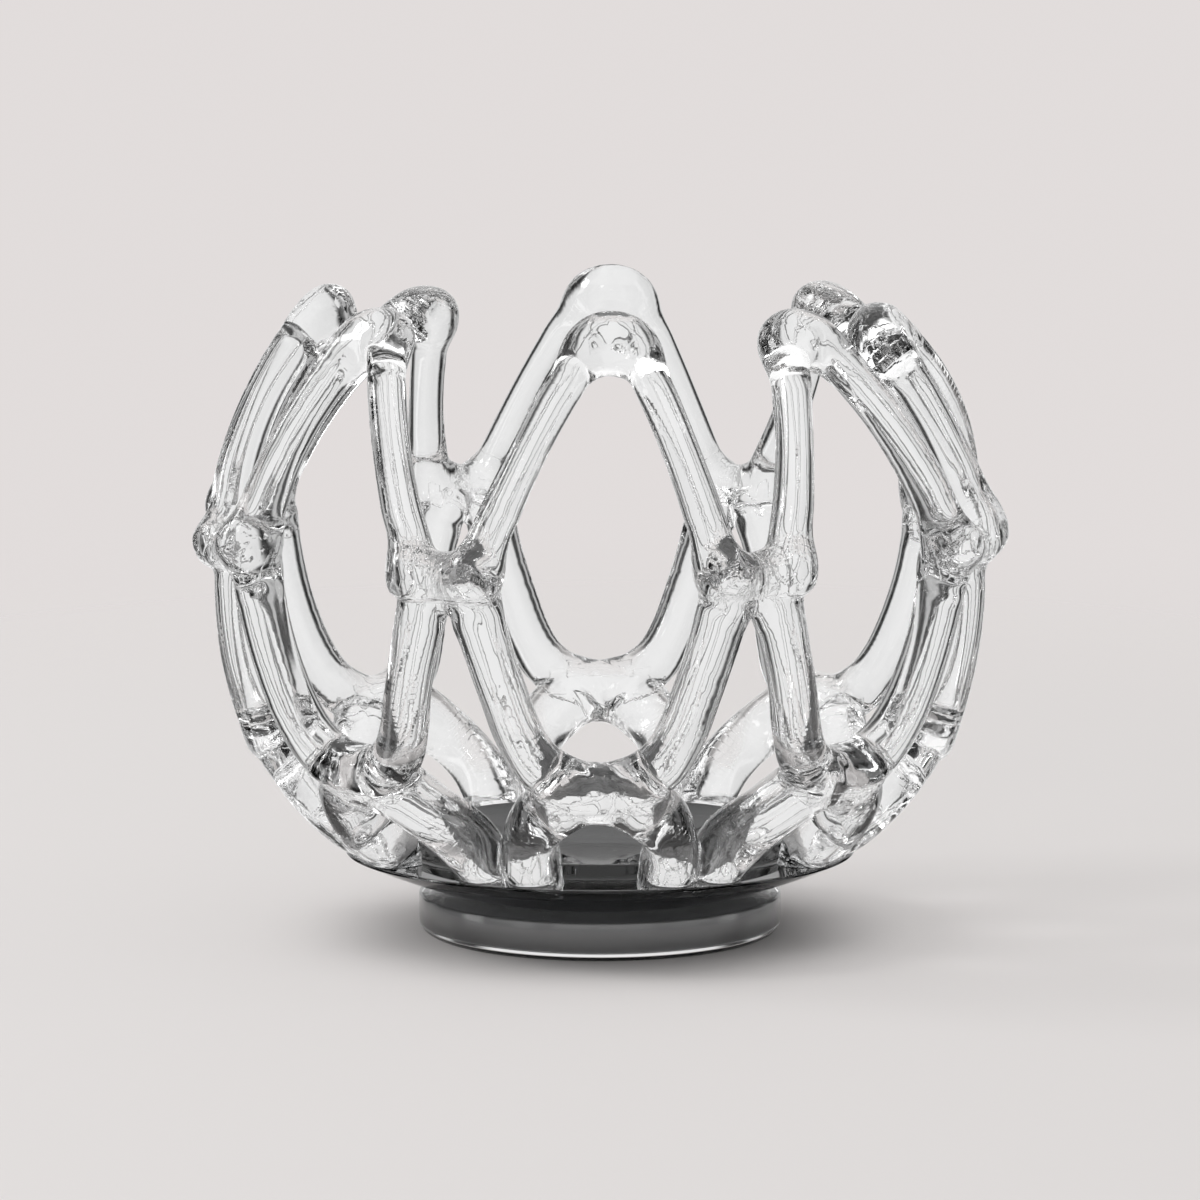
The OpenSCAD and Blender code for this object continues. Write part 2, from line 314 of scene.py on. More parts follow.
# %% The half of a vee
def half_vee(turn, way):
    bend_w = vee_bend_rows[0][1] * vee_cane_d
    low_rise = rise_at(low_seam_h, bowl_h, vee_r)
    rise = low_rise + arc_angle(vee_inner_r + press_share * bend_w, vee_r)
    bend = arc_angle(vee_inner_r + vee_leg_rows[0][1] * vee_cane_d / 2, vee_r)
    knot = [direction(turn, rise), way * bend]
    side = way * (step / 2 - math.degrees(math.asin(side_share * vee_cane_d / vee_r)))
    end_rise = rise_at(mid_seam_h + overrun_share * vee_cane_d, bowl_h, vee_r)
    end = [direction(turn + side, end_rise), 0]
    down = heading(knot[0], direction(turn, rise - bend))
    leaving = heading(knot[0], touch(knot, run_pole(knot, end)))
    bent = fan(knot, down, leaving, -1, vee_inner_r, vee_r, vee_cane_d, vee_bend_rows)
    return lifted(bent + run(knot, end, way, vee_r, vee_cane_d, vee_leg_rows), bowl_h)


print("rings in half a vee:", len(half_vee(0, 1)))


# %% The half of a petal
def half_petal(i, way):
    turn = (i + crown_turns[i]) * step
    tip_w = crown_rows[0][1] * petal_cane_d
    rise = crown_rise * (1 + crown_rises[i]) - arc_angle(crown_inner_r + tip_w / 2, petal_r)
    tip_bend = arc_angle(crown_inner_r + petal_leg_rows[0][1] * petal_cane_d / 2, petal_r)
    crown = [direction(turn, rise), -way * tip_bend]
    valley_turn = (i + way / 2) * step
    neck_w = valley_rows[0][1] * petal_cane_d
    seam_rise = rise_at(mid_seam_h, petal_h, petal_r)
    valley_rise = seam_rise + arc_angle(valley_inner_r + neck_w, petal_r)
    valley_bend = arc_angle(valley_inner_r + valley_rows[-1][1] * petal_cane_d / 2, petal_r)
    valley = [direction(valley_turn, valley_rise), way * valley_bend]
    other = [direction((i - way / 2) * step, valley_rise), -way * valley_bend]
    pole = run_pole(crown, valley)
    here = heading(crown[0], touch(crown, pole))
    mirrored = [crown[0], way * tip_bend]
    there = heading(crown[0], touch(mirrored, run_pole(mirrored, other)))
    top = (here + there).normalized()
    neck = heading(valley[0], direction(valley_turn, valley_rise - valley_bend))
    bent = fan(crown, top, here, 1, crown_inner_r, petal_r, petal_cane_d, crown_rows)
    straight = run(crown, valley, way, petal_r, petal_cane_d, petal_leg_rows)
    leaving = heading(valley[0], touch(valley, pole))
    dip = fan(valley, neck, leaving, -1, valley_inner_r, petal_r, petal_cane_d, valley_rows)
    return lifted(bent + straight + dip[::-1], petal_h)


print("rings in half a petal:", len(half_petal(0, 1)))

# %% [markdown]
# ## Drawing a rod along its route
# A real cane is a straight rod before it is bent, and the model starts the same way: a flat grid is
# added, rolled up and laid along the route, with many slices between the rings. Pulled glass is
# never quite even, so each rod swells and thins a little, and shallow draw lines run along it. The
# slices are kept, so that later each spot of the surface knows where on its rod it was.

# %% Many slices from a few rings
slices_per_mm = 0.8
end_run = 1.6


def smooth_route(rings, per_mm):
    """Slices along a curve that passes through all the rings."""
    rings = np.array(rings)
    gaps = np.linalg.norm(np.diff(rings[:, 0], axis=0), axis=1)
    place = np.concatenate([[0], np.cumsum(gaps)])
    slopes = np.gradient(rings, place, axis=0)
    at = np.linspace(0, place[-1], int(place[-1] * per_mm))
    k = np.clip(np.searchsorted(place, at, side="right") - 1, 0, len(gaps) - 1)
    t = ((at - place[k]) / gaps[k])[:, None, None]
    h = gaps[k][:, None, None]
    return at, (
        (1 + 2 * t) * (1 - t) ** 2 * rings[k]
        + t * (1 - t) ** 2 * h * slopes[k]
        + t**2 * (3 - 2 * t) * rings[k + 1]
        + t**2 * (t - 1) * h * slopes[k + 1]
    )


def carried_on(rings, length):
    """The same rings with one more past each end, so that fused ends reach into each other."""
    first, last = rings[0] + 0, rings[-1] + 0
    first[0] += length * (rings[0][0] - rings[1][0]) / np.linalg.norm(rings[0][0] - rings[1][0])
    last[0] += length * (rings[-1][0] - rings[-2][0]) / np.linalg.norm(rings[-1][0] - rings[-2][0])
    return [first] + list(rings) + [last]


def joined_halves(half, *where):
    return half(*where, -1)[::-1] + half(*where, 1)[1:]


at, slices = smooth_route(carried_on(joined_halves(half_vee, 0), end_run), slices_per_mm)
print("a vee is", round(at[-1], 1), "mm long and has", len(slices), "slices")

# %% How uneven a rod is
uneven_share, uneven_length = 0.03, 14
draw_line_share, draw_line_length, draw_line_turns = 0.07, 34, 1.7


def swells(angle, along, seed):
    """How far each corner of a rod stands out from an even one, as a share of its thickness."""
    found = np.empty(len(angle))
    for n, (a, s) in enumerate(zip(angle, along)):
        slow = noise.noise((seed, 0.5, s / uneven_length))
        across = draw_line_turns * math.cos(a) + seed, draw_line_turns * math.sin(a)
        fine = noise.noise((*across, s / draw_line_length))
        found[n] = 1 + uneven_share * slow + draw_line_share * fine
    return found


along = np.linspace(0, at[-1], 200)
swell = swells(0 * along, along, 0)
print("thickness along one line, as shares:", round(swell.min(), 3), "to", round(swell.max(), 3))

# %% Roll up a grid and lay it along the route
round_count = 40
seed_step = 7.3
weld = 0.01 * MM
rod_slices = []


def draw_rod(name, rings):
    at, slices = smooth_route(carried_on(rings, end_run), slices_per_mm)
    count = len(slices)
    bpy.ops.mesh.primitive_grid_add(x_subdivisions=round_count, y_subdivisions=count - 1, size=1)
    rod = bpy.context.object
    rod.name = name
    angle = np.tile(np.linspace(0, 2 * math.pi, round_count + 1), count)
    row = np.repeat(np.arange(count), round_count + 1)
    swell = swells(angle, at[row], seed_step * len(rod_slices))
    place = (
        slices[row, 0]
        + (np.cos(angle) * swell)[:, None] * slices[row, 1]
        + (np.sin(angle) * swell)[:, None] * slices[row, 2]
    )
    rod.data.vertices.foreach_set("co", (place * MM).ravel())
    bpy.ops.object.mode_set(mode="EDIT")
    bpy.ops.mesh.select_all(action="SELECT")
    bpy.ops.mesh.remove_doubles(threshold=weld)
    bpy.ops.mesh.select_all(action="DESELECT")
    bpy.ops.mesh.select_non_manifold()
    bpy.ops.mesh.edge_face_add()
    bpy.ops.mesh.select_all(action="SELECT")
    bpy.ops.mesh.normals_make_consistent(inside=False)
    bpy.ops.object.mode_set(mode="OBJECT")
    rod_slices.append((at, slices))
    return rod


print("corners round a rod:", round_count)

# %% Draw all the rods
bpy.ops.object.select_all(action="DESELECT")
rods = []
for i in range(petals):
    rods.append(draw_rod(f"root_rod_{i + 1}", joined_halves(half_root, i * step)))
    rods.append(draw_rod(f"vee_rod_{i + 1}", joined_halves(half_vee, i * step)))
    rods.append(draw_rod(f"petal_rod_{i + 1}", joined_halves(half_petal, i)))
print("rods:", len(rods), "corners:", sum(len(r.data.vertices) for r in rods))

# %% [markdown]
# ## Fusing the rods
# In the flame the rods melt into one skin wherever they touch, with soft fillets and no inner
# walls. A boolean union would leave hard creases, so the rods are joined and rebuilt as one skin by
# a voxel remesh, and then relaxed a little, as surface tension does.

# %% Fuse and relax the lattice
voxel = 0.42 * MM
relax_rounds = 26

bpy.ops.object.select_all(action="DESELECT")
for rod in rods:
    rod.select_set(True)
bpy.context.view_layer.objects.active = rods[0]
bpy.ops.object.join()
lattice = bpy.context.object
lattice.name = "fused_lattice"


def finish_modifier(piece, kind, **settings):
    """Adds a modifier with its settings and applies it."""
    bpy.ops.object.select_all(action="DESELECT")
    piece.select_set(True)
    bpy.context.view_layer.objects.active = piece
    bpy.ops.object.modifier_add(type=kind)
    modifier = piece.modifiers[-1]
    for setting, value in settings.items():
        setattr(modifier, setting, value)
    bpy.ops.object.modifier_apply(modifier=modifier.name)


finish_modifier(lattice, "REMESH", mode="VOXEL", voxel_size=voxel)
finish_modifier(lattice, "SMOOTH", factor=0.5, iterations=relax_rounds)
print("fused skin:", len(lattice.data.polygons), "faces")

# %% [markdown]
# ## Where the glass gathers
# Squiggles and folds show at the crowns, the beads and the low seams, where the glass was worked
# hardest. A vertex group marks those places, and a displacement with a soft cloud pattern stirs the
# skin there. The straight runs stay calm. Glass pooled smoothly at the feet, so nothing is stirred
# there.

# %% List the gathers
crown_reach, bead_reach, seam_reach = 8, 9, 9
below_crown, above_bead = 4, 1

low_rise = rise_at(low_seam_h, bowl_h, vee_r)
gathers = []
for i in range(petals):
    crown_top = crown_rise * (1 + crown_rises[i]) - below_crown
    crown = petal_r * direction((i + crown_turns[i]) * step, crown_top) + Vector((0, 0, petal_h))
    bead = vee_r * direction((i + 0.5) * step, above_bead) + Vector((0, 0, mid_seam_h))
    seam = vee_r * direction(i * step, low_rise) + Vector((0, 0, bowl_h))
    gathers += [(crown, crown_reach), (bead, bead_reach), (seam, seam_reach)]
print("gathers:", len(gathers))

# %% Mark the gathers
edge_at = 1.25
levels = 10


def corners_of(piece):
    found = np.empty(len(piece.data.vertices) * 3)
    piece.data.vertices.foreach_get("co", found)
    return found.reshape(-1, 3)


skin = corners_of(lattice) / MM
gathered = np.zeros(len(skin))
for centre, reach in gathers:
    far = np.linalg.norm(skin - np.array(centre), axis=1) / reach
    gathered = np.maximum(gathered, np.clip(edge_at - far, 0, 1))
gathered = gathered**2 * (3 - 2 * gathered)
group = lattice.vertex_groups.new(name="gathered")
for level in range(1, levels + 1):
    inside = np.nonzero(np.round(gathered * levels) == level)[0]
    group.add([int(v) for v in inside], level / levels, "REPLACE")
print("corners in gathers:", int((gathered > 0.5).sum()), "of", len(skin))

# %% Stir the gathers
swirl_deep = 1.3 * MM
swirl_size = 4.4 * MM
settle_rounds = 3

swirls = bpy.data.textures.new("gather_swirls", "CLOUDS")
swirls.noise_type = "SOFT_NOISE"
swirls.noise_scale = swirl_size
swirls.noise_depth = 0
finish_modifier(
    lattice, "DISPLACE", texture=swirls, texture_coords="LOCAL", vertex_group="gathered",
    strength=swirl_deep, mid_level=0.5,
)
finish_modifier(lattice, "SMOOTH", factor=0.5, iterations=settle_rounds)
print("stirred, box in mm:", [round(v / MM, 1) for v in lattice.dimensions])

# %% [markdown]
# ## Keeping to the stated size
# The part's stated size is that of the plain solids, and the finished glass may not stand out of
# it. Stirring the gathers pushed a few crests a hair too far. Shaving them would leave flat spots,
# so the whole skin is drawn in a little along each axis, and heights are counted from the rim.

# %% Keep the skin inside the solids' box
drawn_in = 0.0004

skin = corners_of(lattice)
shares = []
for axis, fixed in ((0, 0), (1, 0), (2, rim_h * MM)):
    reach = skin[:, axis] - fixed
    high = (cad_box[1][axis] - fixed) / reach.max()
    low = 1 if axis == 2 else (fixed - cad_box[0][axis]) / -reach.min()
    shares.append(min(1, high, low) - drawn_in)
    skin[:, axis] = fixed + reach * shares[axis]
lattice.data.vertices.foreach_set("co", skin.ravel())
lattice.data.update()
print("drawn in to these shares of its size:", [round(share, 4) for share in shares])

# %% [markdown]
# ## Remembering the straight rod
# Fine draw lines run along each cane, so their pattern has to follow the bends. Every corner of the
# fused skin looks up the nearest slice of a rod and notes how far along and how far across the rod
# it lies. These three numbers are kept as an attribute, and the glass reads its streaks from them.

# %% Find the nearest slice of a rod
rod_apart = 173.0
spokes = 8

middles = np.concatenate([s[:, 0] for at, s in rod_slices])
outs = np.concatenate([s[:, 1] for at, s in rod_slices])
sides = np.concatenate([s[:, 2] for at, s in rod_slices])
lengths = np.concatenate([at + rod_apart * n for n, (at, s) in enumerate(rod_slices)])

slice_tree = KDTree(len(middles) * spokes)
for k in range(spokes):
    a = 2 * math.pi * k / spokes
    for n, place in enumerate(middles + math.cos(a) * outs + math.sin(a) * sides):
        slice_tree.insert(place, n)
slice_tree.balance()

skin = corners_of(lattice) / MM
nearest = np.array([slice_tree.find(place)[1] for place in skin])
print("slices:", len(middles), "for", len(skin), "corners")


# %% Note each corner's place on its rod
def unit(rows):
    return rows / np.linalg.norm(rows, axis=1)[:, None]


offset = skin - middles[nearest]
out_unit, side_unit = unit(outs[nearest]), unit(sides[nearest])
along_unit = np.cross(out_unit, side_unit)
rod_place = np.stack(
    [
        (offset * out_unit).sum(1),
        (offset * side_unit).sum(1),
        lengths[nearest] + (offset * along_unit).sum(1),
    ],
    axis=1,
)
noted = lattice.data.attributes.new("rod_place", "FLOAT_VECTOR", "POINT")
noted.data.foreach_set("vector", rod_place.ravel())
stir = lattice.data.attributes.new("gather_mask", "FLOAT", "POINT")
stir.data.foreach_set("value", gathered)
lattice.vertex_groups.clear()
print("attributes:", [a.name for a in lattice.data.attributes if not a.name.startswith(".")])

# %% [markdown]
# ## The marks that hot working leaves
# Clear glass shows almost nothing of itself: what is seen is the bright room bent through it. So
# the finest marks are seen only because they bend the light. Two patterns do that: draw lines that
# follow the rod, and swirls in the gathers. Both are heights made in one node group, and the glass
# turns the height into small tilts of its surface.


# %% A helper that adds a shader node
def add_node(tree, kind, inputs=None, **settings):
    """Adds a node, makes its choices, then sets each input or links it."""
    node = tree.nodes.new(kind)
    for setting, value in settings.items():
        setattr(node, setting, value)
    for word, value in (inputs or {}).items():
        if isinstance(value, bpy.types.NodeSocket):
            tree.links.new(value, node.inputs[word])
        else:
            node.inputs[word].default_value = value
    return node


def worked_out(tree, operation, *values):
    """The result of a math node."""
    numbers = dict(enumerate(values))
    return add_node(tree, "ShaderNodeMath", numbers, operation=operation).outputs[0]


hot_marks = bpy.data.node_groups.new("hot_working_marks", "ShaderNodeTree")
for word, kind in (
    ("Place", "NodeSocketVector"), ("Spot", "NodeSocketVector"), ("Gather", "NodeSocketFloat"),
    ("Line Amount", "NodeSocketFloat"), ("Swirl Amount", "NodeSocketFloat"),
):
    hot_marks.interface.new_socket(name=word, in_out="INPUT", socket_type=kind)
hot_marks.interface.new_socket(name="Height", in_out="OUTPUT", socket_type="NodeSocketFloat")
taken = add_node(hot_marks, "NodeGroupInput").outputs
print("group sockets:", [s.name for s in hot_marks.interface.items_tree])

# %% [markdown]
# ## Draw lines
# A rod is pulled from a hot lump, and every small flaw of the lump is drawn out into a long line.
# Noise that is stretched along the rod gives such streaks. It is folded at its middle level, which
# leaves narrow soft creases between smooth slopes, and it fades out where the glass was stirred.

# %% The height of the draw lines
streak_scale = (0.14, 0.14, 0.006)
crease = 0.1

stretched = add_node(
    hot_marks, "ShaderNodeMapping", {"Vector": taken["Place"], "Scale": streak_scale}
)
waves = add_node(
    hot_marks, "ShaderNodeTexNoise",
    {"Vector": stretched.outputs["Vector"], "Scale": 1, "Detail": 0, "Distortion": 0.2},
)
above = worked_out(hot_marks, "SUBTRACT", waves.outputs["Fac"], 0.5)
below = worked_out(hot_marks, "SUBTRACT", 0.5, waves.outputs["Fac"])
folded = worked_out(hot_marks, "SMOOTH_MAX", above, below, crease)
calm = worked_out(hot_marks, "SUBTRACT", 1, taken["Gather"])
lined = worked_out(
    hot_marks, "MULTIPLY", worked_out(hot_marks, "MULTIPLY", folded, calm), taken["Line Amount"]
)
print("draw lines:", len(hot_marks.nodes), "nodes")

# %% [markdown]
# ## Swirls
# Where canes are pressed together, the lines of both are folded and turned. A wave that is bent by
# noise does the same: several lines run side by side and turn together. It takes the plain place in
# the object, because a joint belongs to more than one rod.

# %% The height of the swirls
rings = add_node(
    hot_marks, "ShaderNodeTexWave",
    {"Vector": taken["Spot"], "Scale": 100, "Distortion": 4, "Detail": 0, "Detail Scale": 0.9},
    wave_type="BANDS", bands_direction="DIAGONAL", wave_profile="SIN",
)
stirred = worked_out(hot_marks, "MULTIPLY", rings.outputs["Fac"], taken["Gather"])
swirled = worked_out(hot_marks, "MULTIPLY", stirred, taken["Swirl Amount"])
add_node(hot_marks, "NodeGroupOutput", {"Height": worked_out(hot_marks, "ADD", lined, swirled)})
print("draw lines and swirls:", len(hot_marks.nodes), "nodes")

# %% [markdown]
# ## Clear glass
# The canes are solid clear glass. The Principled shader with full transmission bends and mirrors
# light as glass does. The bright patterns that real glass throws on a table would need far more
# samples. So most of the light for the table goes straight through the glass, and only a soft
# shadow is left.

# %% Glass that lets light through to the table
glass_ior = 1.5
shadow_left = 0.2
bounce_left = 0.05


def new_glass(name, shadow_share):
    """A clear glass that stops only a share of the light on its way to the table."""
    glass = bpy.data.materials.new(name)
    glass.use_nodes = True
    tree = glass.node_tree
    shader = tree.nodes["Principled BSDF"]
    shader.inputs["Base Color"].default_value = (1, 1, 1, 1)
    shader.inputs["Roughness"].default_value = 0
    shader.inputs["IOR"].default_value = glass_ior
    shader.inputs["Transmission Weight"].default_value = 1
    rays = add_node(tree, "ShaderNodeLightPath").outputs
    left = 1
    for ray, share in (("Is Shadow Ray", shadow_share), ("Is Diffuse Ray", bounce_left)):
        left = worked_out(tree, "MULTIPLY_ADD", rays[ray], share - 1, left)
    tree.links.new(left, shader.inputs["Alpha"])
    return glass, shader


cane_glass, cane_shader = new_glass("clear_cane_glass", shadow_left)
print("canes:", cane_glass.name, "with", len(cane_glass.node_tree.nodes), "nodes")

# %% Put the marks on the canes
line_amount, swirl_amount = 1.1, 0.24

tree = cane_glass.node_tree
rod_note = add_node(tree, "ShaderNodeAttribute", attribute_name="rod_place")
gather_note = add_node(tree, "ShaderNodeAttribute", attribute_name="gather_mask")
whole = add_node(tree, "ShaderNodeTexCoord")
marks = add_node(tree, "ShaderNodeGroup", node_tree=hot_marks)
marks.inputs["Line Amount"].default_value = line_amount
marks.inputs["Swirl Amount"].default_value = swirl_amount
tree.links.new(rod_note.outputs["Vector"], marks.inputs["Place"])
tree.links.new(whole.outputs["Object"], marks.inputs["Spot"])
tree.links.new(gather_note.outputs["Fac"], marks.inputs["Gather"])
relief = add_node(
    tree, "ShaderNodeBump", {"Strength": 1, "Distance": 1 * MM, "Height": marks.outputs["Height"]}
)
tree.links.new(relief.outputs["Normal"], cane_shader.inputs["Normal"])
print("canes:", [n.bl_idname for n in tree.nodes])

# %% [markdown]
# ## The seams inside fused glass
# Where two pieces have melted into each other there is glass on both sides and nothing to see. The
# pieces are still cut apart there, so the cut faces get a material that lets light go straight on,
# and the outer skin alone bends it.

# %% The seam inside the glass
seam_glass = bpy.data.materials.new("fused_seam")
seam_glass.use_nodes = True
seam_alpha = seam_glass.node_tree.nodes["Principled BSDF"].inputs["Alpha"]
seam_alpha.default_value = 0
lattice.data.materials.clear()
lattice.data.materials.append(cane_glass)
lattice.data.materials.append(seam_glass)
print("seam alpha:", seam_alpha.default_value)

# %% [markdown]
# ## Cutting the lattice into its pieces
# The maker fuses three rows of eight arches. The fused skin is cut along the same seams: level
# planes between the rows, and upright planes through the beads between neighbours. The bisect
# operator cuts and fills in one go. Its fill goes to the seam material, and each half is cut again
# until one arch is left.

# %% Cut a copy and keep one side
cut_slack = 0.02 * MM
cut_flat = 0.999


def mark_cut(piece, point, normal):
    """Gives the seam material to the flat faces that lie in the plane of a cut."""
    count = len(piece.data.polygons)
    centre, facing = np.empty(count * 3), np.empty(count * 3)
    piece.data.polygons.foreach_get("center", centre)
    piece.data.polygons.foreach_get("normal", facing)
    off = np.abs((centre.reshape(-1, 3) - np.array(point)) @ np.array(normal))
    flat = np.abs(facing.reshape(-1, 3) @ np.array(normal))
    slot = np.empty(count, dtype=np.int32)
    piece.data.polygons.foreach_get("material_index", slot)
    slot[(off < cut_slack) & (flat > cut_flat)] = 1
    piece.data.polygons.foreach_set("material_index", slot)


def kept_side(piece, point, normal):
    """A copy of the piece cut by a plane, with only the side that the normal points to."""
    copy = piece.copy()
    copy.data = piece.data.copy()
    bpy.context.collection.objects.link(copy)
    bpy.ops.object.select_all(action="DESELECT")
    copy.select_set(True)
    bpy.context.view_layer.objects.active = copy
    bpy.ops.object.mode_set(mode="EDIT")
    bpy.ops.mesh.select_all(action="SELECT")
    bpy.ops.mesh.bisect(plane_co=point, plane_no=normal, use_fill=True, clear_inner=True)
    bpy.ops.object.mode_set(mode="OBJECT")
    mark_cut(copy, point, normal)
    return copy


def dropped(*pieces):
    for piece in pieces:
        bpy.data.meshes.remove(piece.data)


fused_deep = 0.15
up, down = Vector((0, 0, 1)), Vector((0, 0, -1))
low_level, mid_level, rim_level = [
    Vector((0, 0, h * MM)) for h in (low_seam_h, mid_seam_h, rim_h - fused_deep)
]

petal_row = kept_side(lattice, mid_level, up)
below_beads = kept_side(lattice, mid_level, down)
vee_row = kept_side(below_beads, low_level, up)
below_vees = kept_side(below_beads, low_level, down)
root_row = kept_side(below_vees, rim_level, up)
dropped(lattice, below_beads, below_vees)
print("rows:", [len(r.data.polygons) for r in (petal_row, vee_row, root_row)])


# %% Cut a row into its eight arches
def wedge_of(row, i):
    """The part of a row between the two upright planes beside arch i."""
    left = direction((i - 0.5) * step + 90, 0)
    right = direction((i + 0.5) * step - 90, 0)
    half = kept_side(row, (0, 0, 0), left)
    wedge = kept_side(half, (0, 0, 0), right)
    dropped(half)
    return wedge


def row_of_arches(row, name):
    arches = []
    for i in range(petals):
        arch = wedge_of(row, i)
        arch.name = f"{name}_{i + 1}"
        arches.append(arch)
    dropped(row)
    return arches


arches = row_of_arches(root_row, "root_arch")
arches += row_of_arches(vee_row, "middle_vee")
arches += row_of_arches(petal_row, "petal_arch")
print("arches:", len(arches), "faces:", sum(len(a.data.polygons) for a in arches))

# %% [markdown]
# ## Smooth shading
# Fire leaves glass without a facet. Smooth shading takes the facets of the mesh out of sight. It
# goes by angle, so that the flat seams keep their sharp edges and don't tilt the skin beside them.

# %% Smooth shading on every arch
arch_angle = math.radians(60)

for arch in arches:
    bpy.ops.object.select_all(action="DESELECT")
    arch.select_set(True)
    bpy.context.view_layer.objects.active = arch
    bpy.ops.object.shade_smooth_by_angle(angle=arch_angle)
print("faces on the largest arch:", max(len(a.data.polygons) for a in arches))

# %% [markdown]
# ## The clear foot
# The foot is a thick round puck, pressed flat on top and rounded below where it was fire polished.
# A turned form is best spun: half its outline is drawn and swept once round the upright axis. Its
# top reaches a hair into the dish, so light meets the dish before it leaves the foot, as it does in
# fused glass.

# %% Spin an outline into a turned form
turned_weld, turned_least = 0.002 * MM, 0.001 * MM
turned_angle = math.radians(35)


def arc_points(centre, radius, start, end, count):
    """Points on an arc in the upright plane, with angles in degrees from the outward direction."""
    turns = np.radians(np.linspace(start, end, count))
    return [(centre[0] + radius * math.cos(t), centre[1] + radius * math.sin(t)) for t in turns]


def spun(name, outline, steps):
    """A closed turned form from the (radius, height) points of half its outline, in millimetres."""
    bpy.ops.object.select_all(action="DESELECT")
    bpy.ops.mesh.primitive_circle_add(vertices=len(outline), radius=1)
    form = bpy.context.object
    form.name = name
    for corner, (r, h) in zip(form.data.vertices, outline):
        corner.co = (max(r, 0) * MM, 0, h * MM)
    bpy.ops.object.mode_set(mode="EDIT")
    bpy.ops.mesh.select_all(action="SELECT")
    bpy.ops.mesh.spin(steps=steps, angle=2 * math.pi, center=(0, 0, 0), axis=(0, 0, 1))
    bpy.ops.mesh.select_all(action="SELECT")
    bpy.ops.mesh.remove_doubles(threshold=turned_weld)
    bpy.ops.mesh.delete_loose()
    bpy.ops.mesh.select_all(action="SELECT")
    bpy.ops.mesh.dissolve_degenerate(threshold=turned_least)
    bpy.ops.mesh.normals_make_consistent(inside=False)
    bpy.ops.object.mode_set(mode="OBJECT")
    bpy.ops.object.shade_smooth_by_angle(angle=turned_angle)
    return form


foot_r = foot_d / 2
foot_top = foot_h + fused_deep
stand_gap = 0.04
top_edge_r = 0.5
foot_outline = [(r, foot_top) for r in (0, 8, 16, seat_r - 0.6)]
foot_outline += [(seat_r + 0.8, foot_h + 0.1), (seat_r + 2, foot_h)]
foot_outline += arc_points((foot_r - top_edge_r, foot_h - top_edge_r), top_edge_r, 90, 0, 6)
foot_outline += arc_points((foot_r - foot_edge_r, foot_edge_r + stand_gap), foot_edge_r, 0, -90, 14)
foot_outline += [(r, stand_gap) for r in (24, 16, 8, 0)]
foot = spun("foot", foot_outline, 192)
print("foot faces:", len(foot.data.polygons))

# %% [markdown]
# ## The smoke dish
# The dish carries the canes. Its underside is part of a large ball, its rim is flat where the roots
# stand, and its inside is a hollow with a soft lip behind the roots. It is spun like the foot. Each
# cell below adds a stretch of the outline, from the middle of the hollow outwards and back below.

# %% The hollow and its lip
lip_rise, lip_in, lip_r = 2.6, 2.6, 0.8

lip_top_r = rim_inner_r - lip_in
lip_h = rim_h + lip_rise
hollow_deep = lip_h - floor_h
hollow_r = (lip_top_r**2 + hollow_deep**2) / (2 * hollow_deep)
hollow_edge = math.degrees(math.asin((lip_top_r - 1.4) / hollow_r))
dish_outline = arc_points((0, floor_h + hollow_r), hollow_r, -90, -90 + hollow_edge, 16)
dish_outline += arc_points((lip_top_r, lip_h - lip_r), lip_r, 125, 35, 8)
dish_outline += [
    (rim_inner_r - inwards, rim_h + rise) for inwards, rise in ((1.3, 1), (0.75, 0.4), (0.1, 0.1))
]
print("points from the middle to the rim:", len(dish_outline))

# %% The rim and the belly
rim_edge = rim_d / 2 - rim_edge_r
dish_outline += [(r, rim_h) for r in np.linspace(rim_inner_r + 0.6, rim_edge - 0.3, 16)]
dish_outline += arc_points((rim_edge, rim_h - rim_edge_r), rim_edge_r, 90, 0, 8)
belly_deep = rim_h - rim_edge_r - foot_h
belly_rise = (rim_d**2 / 4 - seat_r**2 + belly_deep**2) / (2 * belly_deep)
belly_r = math.hypot(seat_r, belly_rise)
for r in np.linspace(rim_d / 2 - 0.35, seat_r, 14):
    dish_outline.append((r, foot_h + belly_rise - math.sqrt(belly_r**2 - r**2)))
dish_outline += [(r, foot_h) for r in (16, 8, 0)]
dish = spun("dish", dish_outline, 384)
print("dish faces:", len(dish.data.polygons))

# %% [markdown]
# ## Smoke glass and the foot's glass
# The dish is not painted: its colour is in the glass, so it gets darker the more glass light goes
# through. That is volume absorption. The thin floor lets some light through, and the thick rim
# turns nearly black. The foot is clear. Its underside is given a matte roughness, not a mirror, and
# a grey tone that is painted shade: it makes the foot look grey and even from above.

# %% The smoke glass of the dish
smoke_density = 420
smoke_colour = (0.075, 0.088, 0.098, 1)
smoke_shadow = 0.3
smoke_shine = 0.3

smoke_glass, smoke_shader = new_glass("smoke_dish_glass", smoke_shadow)
smoke_shader.inputs["Specular IOR Level"].default_value = smoke_shine
tree = smoke_glass.node_tree
soak = add_node(
    tree, "ShaderNodeVolumeAbsorption", {"Color": smoke_colour, "Density": smoke_density}
)
tree.links.new(soak.outputs["Volume"], tree.nodes["Material Output"].inputs["Volume"])

smoke_seam = smoke_glass.copy()
smoke_seam.name = "fused_smoke_seam"
alpha = smoke_seam.node_tree.nodes["Principled BSDF"].inputs["Alpha"]
for joined in list(alpha.links):
    smoke_seam.node_tree.links.remove(joined)
alpha.default_value = 0
print("smoke density per metre:", smoke_density)

# %% The clear glass of the foot, and its matte underside with painted shade
# The grey tone of the underside is painted shade: it dims how the clear foot looks from above. The
# roughness only makes it matte.
underside_painted_shade = (0.15, 0.16, 0.17, 1)
ground_roughness = 0.6

